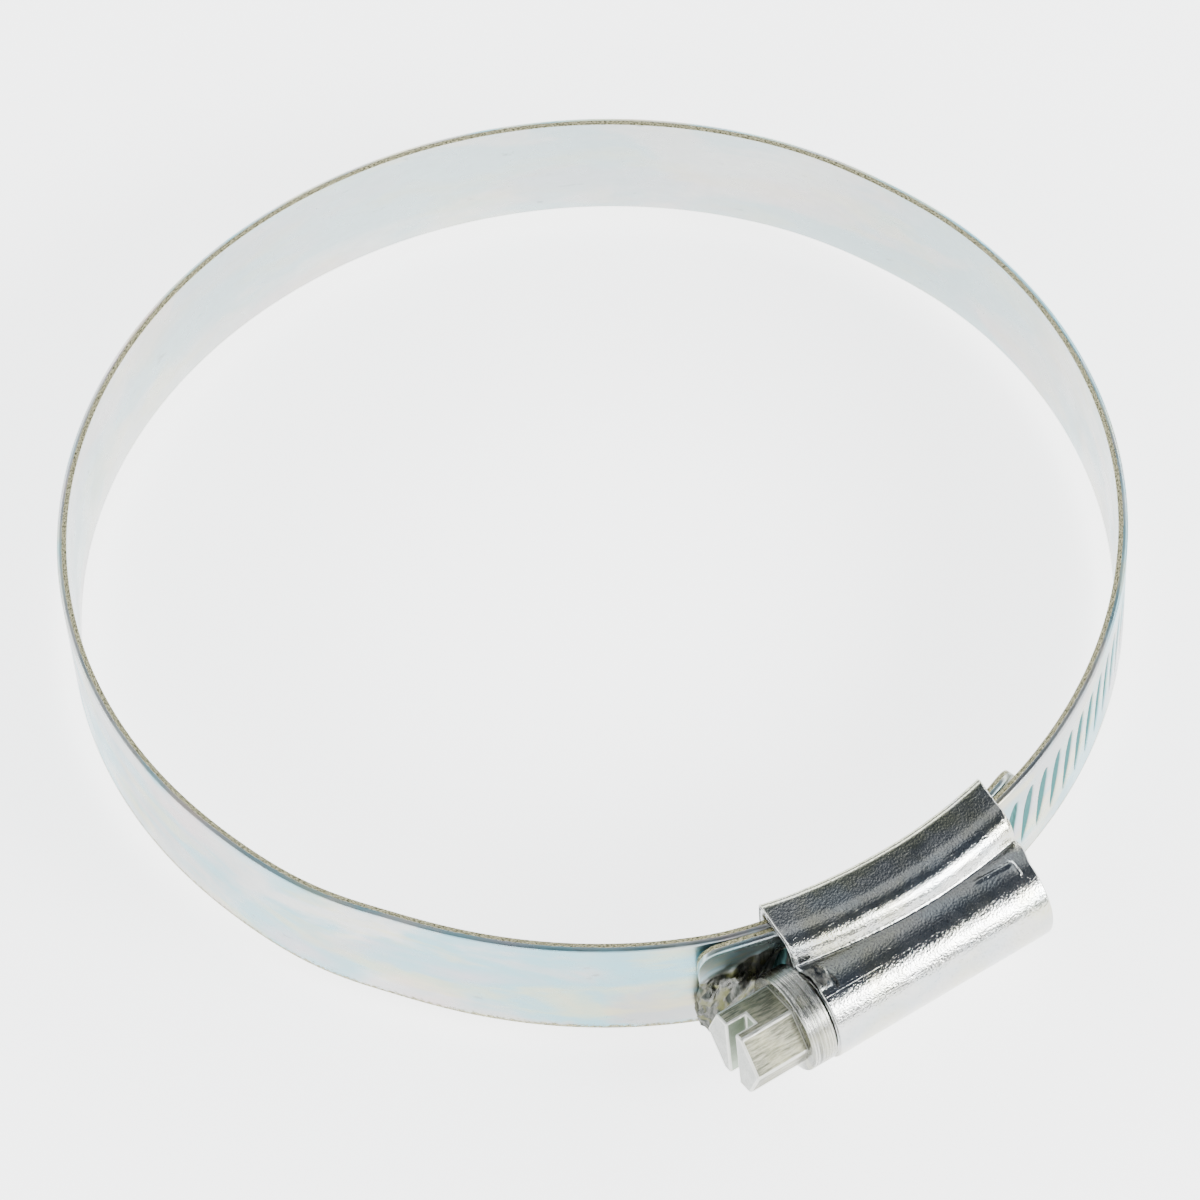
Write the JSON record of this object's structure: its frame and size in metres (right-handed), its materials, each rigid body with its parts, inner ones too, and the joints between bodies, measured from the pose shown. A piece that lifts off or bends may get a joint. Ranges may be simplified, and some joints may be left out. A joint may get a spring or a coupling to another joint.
{
  "type": "hose clamp",
  "caption": "Worm-drive hose clamp: a pressed housing holds a slotted hexagon screw whose worm draws a threaded steel band round a hose.",
  "frame": {"origin": "centre of the open ring, at the middle of the band width", "axes": "+Z along the hose axis, housing on -Y, screw parallel to X with its hexagon head towards -X"},
  "size_m": [0.0908, 0.0998, 0.0138],
  "materials": {
    "band_steel": "zinc plated, blue passivated",
    "housing_steel": "zinc plated pressing, bright, slightly yellow",
    "screw_steel": "zinc plated, drawn hexagon bar"
  },
  "bodies": {
    "housing_body": {"housing": "housing_steel", "band_fixed_end": "band_steel"},
    "worm_screw": {"worm_screw": "screw_steel"},
    "threaded_run": {"band_thread_run": "band_steel"},
    "band_link_01": {"band_link_01": "band_steel"},
    "band_link_02": {"band_link_02": "band_steel"},
    "band_link_03": {"band_link_03": "band_steel"},
    "band_link_04": {"band_link_04": "band_steel"},
    "band_link_05": {"band_link_05": "band_steel"},
    "band_link_06": {"band_link_06": "band_steel"},
    "band_link_07": {"band_link_07": "band_steel"},
    "band_link_08": {"band_link_08": "band_steel"},
    "band_link_09": {"band_link_09": "band_steel"},
    "band_link_10": {"band_link_10": "band_steel"},
    "band_link_11": {"band_link_11": "band_steel"},
    "band_link_12": {"band_link_12": "band_steel"},
    "band_link_13": {"band_link_13": "band_steel"},
    "band_link_14": {"band_link_14": "band_steel"}
  },
  "joints": [
    {"name": "screw_turn", "type": "hinge", "parent": "housing_body", "child": "worm_screw", "pos_m": [-0.0016, -0.05009, 0], "axis": [1, 0, 0], "range_deg": [0, 10080]},
    {"name": "band_feed", "type": "hinge", "parent": "housing_body", "child": "threaded_run", "pos_m": [-0.0016, -0.00014, 0], "axis": [0, 0, -1], "range_deg": [0, 74.21]},
    {"name": "band_bend_01", "type": "hinge", "parent": "threaded_run", "child": "band_link_01", "pos_m": [0.04433, 0.00388, 0], "axis": [0, 0, 1], "range_deg": [0, 3.54]},
    {"name": "band_bend_02", "type": "hinge", "parent": "band_link_01", "child": "band_link_02", "pos_m": [0.04111, 0.01703, 0], "axis": [0, 0, 1], "range_deg": [0, 6.44]},
    {"name": "band_bend_03", "type": "hinge", "parent": "band_link_02", "child": "band_link_03", "pos_m": [0.03409, 0.0286, 0], "axis": [0, 0, 1], "range_deg": [0, 5.81]},
    {"name": "band_bend_04", "type": "hinge", "parent": "band_link_03", "child": "band_link_04", "pos_m": [0.02391, 0.03753, 0], "axis": [0, 0, 1], "range_deg": [0, 5.18]},
    {"name": "band_bend_05", "type": "hinge", "parent": "band_link_04", "child": "band_link_05", "pos_m": [0.01152, 0.04298, 0], "axis": [0, 0, 1], "range_deg": [0, 4.62]},
    {"name": "band_bend_06", "type": "hinge", "parent": "band_link_05", "child": "band_link_06", "pos_m": [-0.00194, 0.04446, 0], "axis": [0, 0, 1], "range_deg": [0, 4.18]},
    {"name": "band_bend_07", "type": "hinge", "parent": "band_link_06", "child": "band_link_07", "pos_m": [-0.01522, 0.04182, 0], "axis": [0, 0, 1], "range_deg": [0, 3.93]},
    {"name": "band_bend_08", "type": "hinge", "parent": "band_link_07", "child": "band_link_08", "pos_m": [-0.02709, 0.0353, 0], "axis": [0, 0, 1], "range_deg": [0, 3.91]},
    {"name": "band_bend_09", "type": "hinge", "parent": "band_link_08", "child": "band_link_09", "pos_m": [-0.03645, 0.02552, 0], "axis": [0, 0, 1], "range_deg": [0, 4.12]},
    {"name": "band_bend_10", "type": "hinge", "parent": "band_link_09", "child": "band_link_10", "pos_m": [-0.04244, 0.01338, 0], "axis": [0, 0, 1], "range_deg": [0, 4.53]},
    {"name": "band_bend_11", "type": "hinge", "parent": "band_link_10", "child": "band_link_11", "pos_m": [-0.0445, 0, 0], "axis": [0, 0, 1], "range_deg": [0, 5.1]},
    {"name": "band_bend_12", "type": "hinge", "parent": "band_link_11", "child": "band_link_12", "pos_m": [-0.04244, -0.01338, 0], "axis": [0, 0, 1], "range_deg": [0, 5.74]},
    {"name": "band_bend_13", "type": "hinge", "parent": "band_link_12", "child": "band_link_13", "pos_m": [-0.03645, -0.02552, 0], "axis": [0, 0, 1], "range_deg": [0, 6.4]},
    {"name": "band_bend_14", "type": "hinge", "parent": "band_link_13", "child": "band_link_14", "pos_m": [-0.02762, -0.03582, 0], "axis": [0, 0, 1], "range_deg": [0, 7.03]}
  ],
  "couplings": [
    {"joint": "band_feed", "follows": "screw_turn", "ratio": 0.0073611},
    {"joint": "band_bend_01", "follows": "screw_turn", "ratio": 0.00034973},
    {"joint": "band_bend_02", "follows": "screw_turn", "ratio": 0.00063836},
    {"joint": "band_bend_03", "follows": "screw_turn", "ratio": 0.00057542},
    {"joint": "band_bend_04", "follows": "screw_turn", "ratio": 0.00051314},
    {"joint": "band_bend_05", "follows": "screw_turn", "ratio": 0.00045705},
    {"joint": "band_bend_06", "follows": "screw_turn", "ratio": 0.00041384},
    {"joint": "band_bend_07", "follows": "screw_turn", "ratio": 0.00038933},
    {"joint": "band_bend_08", "follows": "screw_turn", "ratio": 0.00038727},
    {"joint": "band_bend_09", "follows": "screw_turn", "ratio": 0.00040795},
    {"joint": "band_bend_10", "follows": "screw_turn", "ratio": 0.00044888},
    {"joint": "band_bend_11", "follows": "screw_turn", "ratio": 0.00050453},
    {"joint": "band_bend_12", "follows": "screw_turn", "ratio": 0.00056813},
    {"joint": "band_bend_13", "follows": "screw_turn", "ratio": 0.00063372},
    {"joint": "band_bend_14", "follows": "screw_turn", "ratio": 0.00069643}
  ]
}
